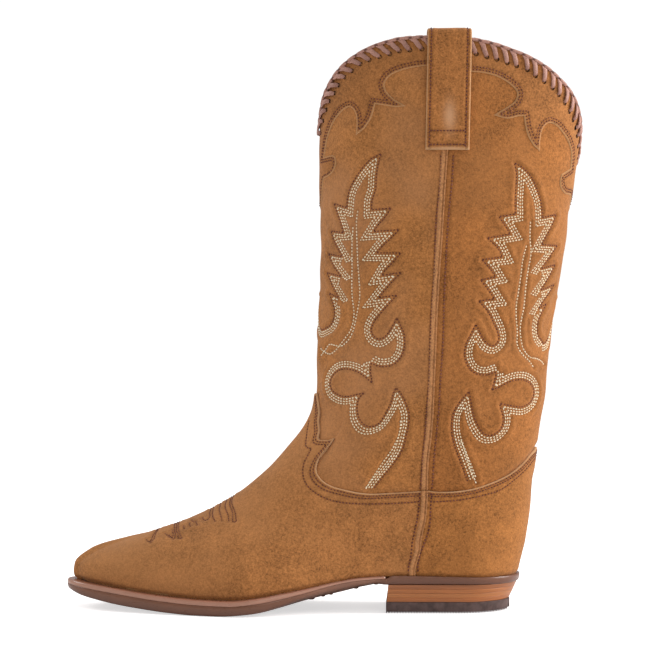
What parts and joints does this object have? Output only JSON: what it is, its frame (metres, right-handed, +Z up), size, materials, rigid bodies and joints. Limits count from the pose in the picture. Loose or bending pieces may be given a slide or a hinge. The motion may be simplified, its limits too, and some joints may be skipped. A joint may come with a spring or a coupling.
{
  "type": "cowboy boot",
  "caption": "Mid-calf cowboy boot for one foot, with pointed toe, stacked heel, embroidered shaft, laced top edge and two pull straps.",
  "frame": {"origin": "on the floor, at the middle of the heel's flat wear face", "axes": "+Z up along the shaft, toe towards -X, outer side of the boot towards -Y"},
  "size_m": [0.3163, 0.0967, 0.3502],
  "materials": {
    "suede": "suede",
    "piping": "matt",
    "lace": "satin",
    "strap": "satin",
    "lining": "matt",
    "stiffener": "matt",
    "insole": "matt",
    "sock_liner": "matt",
    "steel": "brushed",
    "cork": "matt",
    "welt": "burnished",
    "sole_leather": "burnished",
    "heel_leather": "burnished",
    "rubber": "matt",
    "brass": "dull",
    "pegs": "matt"
  },
  "bodies": {
    "foot": {"vamp": "suede", "counter": "suede", "foot_welt_left": "piping", "foot_welt_right": "piping", "vamp_lining": "lining", "heel_lining": "lining", "toe_puff": "stiffener", "heel_stiffener": "stiffener", "insole": "insole", "sock_liner": "sock_liner", "shank": "steel", "cork_filler": "cork", "welt": "welt", "outsole": "sole_leather", "heel_lift_1": "heel_leather", "heel_lift_2": "heel_leather", "heel_lift_3": "heel_leather", "heel_lift_4": "heel_leather", "top_lift": "rubber", "heel_nails": "brass", "waist_pegs": "pegs"},
    "shaft": {"vamp_tongue": "suede", "shaft_front": "suede", "shaft_back": "suede", "collar_front": "suede", "collar_back": "suede", "side_welt_left": "piping", "side_welt_right": "piping", "edge_lace": "lace", "shaft_lining_front": "lining", "shaft_lining_back": "lining"},
    "pull_strap_left": {"pull_strap_left": "strap"},
    "pull_strap_right": {"pull_strap_right": "strap"}
  },
  "joints": [
    {"name": "ankle_flex", "type": "hinge", "parent": "foot", "child": "shaft", "pos_m": [-0.012, 0, 0.098], "axis": [0, -1, 0], "range_deg": [-6, 12], "stiffness_Nm_per_rad": 4},
    {"name": "pull_strap_left_swing", "type": "hinge", "parent": "shaft", "child": "pull_strap_left", "pos_m": [0, -0.0458, 0.2775], "axis": [1, 0, 0], "range_deg": [0, 3], "stiffness_Nm_per_rad": 0.05},
    {"name": "pull_strap_right_swing", "type": "hinge", "parent": "shaft", "child": "pull_strap_right", "pos_m": [0, 0.0458, 0.2775], "axis": [-1, 0, 0], "range_deg": [0, 3], "stiffness_Nm_per_rad": 0.05}
  ]
}
